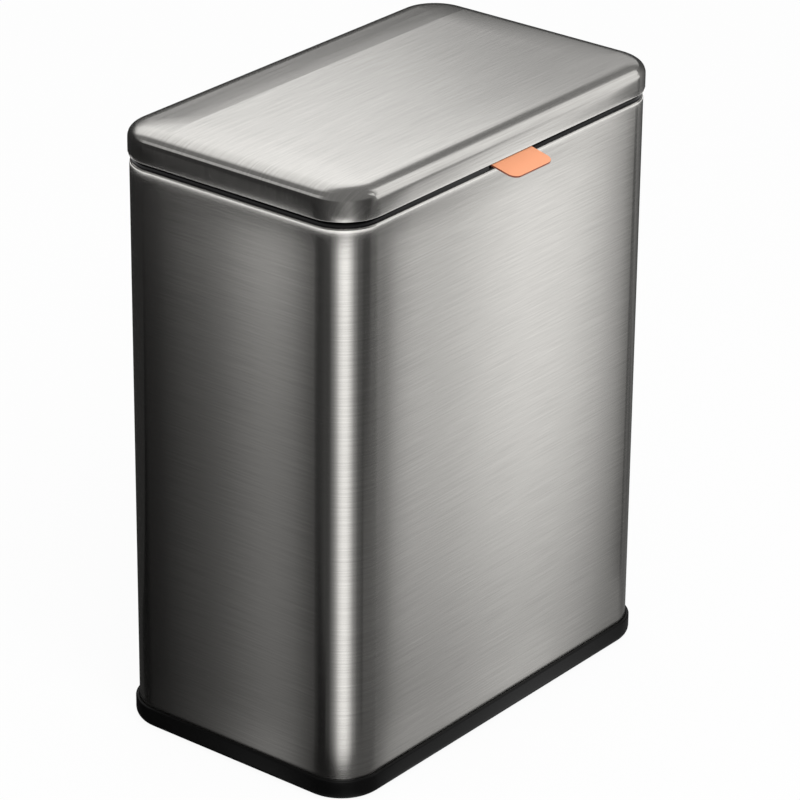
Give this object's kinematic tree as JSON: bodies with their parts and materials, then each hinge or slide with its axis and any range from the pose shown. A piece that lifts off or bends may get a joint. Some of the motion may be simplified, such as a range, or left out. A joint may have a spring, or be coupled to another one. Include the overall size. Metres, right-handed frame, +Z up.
{
  "type": "countertop bin",
  "caption": "Tall rounded-rectangle countertop bin with a crowned hinged lid, a front push tab that releases it, a lift-out bucket and a base ring.",
  "frame": {"origin": "middle of the footprint, finger tab included, on the surface the bin stands on", "axes": "+Z up, +X to the right along the long front face, -Y towards the user, where the finger tab is"},
  "size_m": [0.254, 0.1674, 0.33],
  "materials": {
    "brushed_steel_body": "brushed across the faces",
    "brushed_steel_lid": "brushed along the lid",
    "satin_black_plastic": "satin moulded",
    "liner_plastic": "satin moulded",
    "lever_plastic": "satin moulded",
    "bucket_plastic": "fine grained moulded",
    "orange_tab": "satin",
    "rubber": "matte",
    "zinc_steel": "zinc plated",
    "steel_pin": "ground",
    "spring_steel": "bright"
  },
  "bodies": {
    "bin_body": {"base_tray": "satin_black_plastic", "rubber_feet": "rubber", "base_screws": "zinc_steel", "body_shell": "brushed_steel_body", "top_collar": "satin_black_plastic", "lid_bumpers": "rubber", "hinge_bracket_left": "satin_black_plastic", "hinge_bracket_right": "satin_black_plastic", "bracket_screws": "zinc_steel", "hinge_pin_left": "steel_pin", "hinge_pin_right": "steel_pin", "torsion_spring_left": "spring_steel", "torsion_spring_right": "spring_steel", "lever_pin": "steel_pin", "catch_leaf": "spring_steel", "leaf_screws": "zinc_steel"},
    "lid": {"lid_skin": "brushed_steel_lid", "lid_liner": "liner_plastic", "striker": "spring_steel", "striker_screws": "zinc_steel"},
    "lever": {"finger_tab": "orange_tab", "tab_rivets": "steel_pin", "release_lever": "lever_plastic"},
    "bucket": {"inner_bucket": "bucket_plastic"}
  },
  "joints": [
    {"name": "lid_hinge", "type": "hinge", "parent": "bin_body", "child": "lid", "pos_m": [0, 0.0789, 0.3224], "axis": [-1, 0, 0], "range_deg": [0, 80], "deforming": ["torsion_spring_left", "torsion_spring_right", "catch_leaf"]},
    {"name": "tab_press", "type": "hinge", "parent": "bin_body", "child": "lever", "pos_m": [0, -0.0583, 0.309], "axis": [1, 0, 0], "range_deg": [0, 7], "stiffness_Nm_per_rad": 0.7},
    {"name": "bucket_lift", "type": "slide", "parent": "bin_body", "child": "bucket", "axis": [0, 0, 1], "range_m": [0, 0.012]}
  ]
}
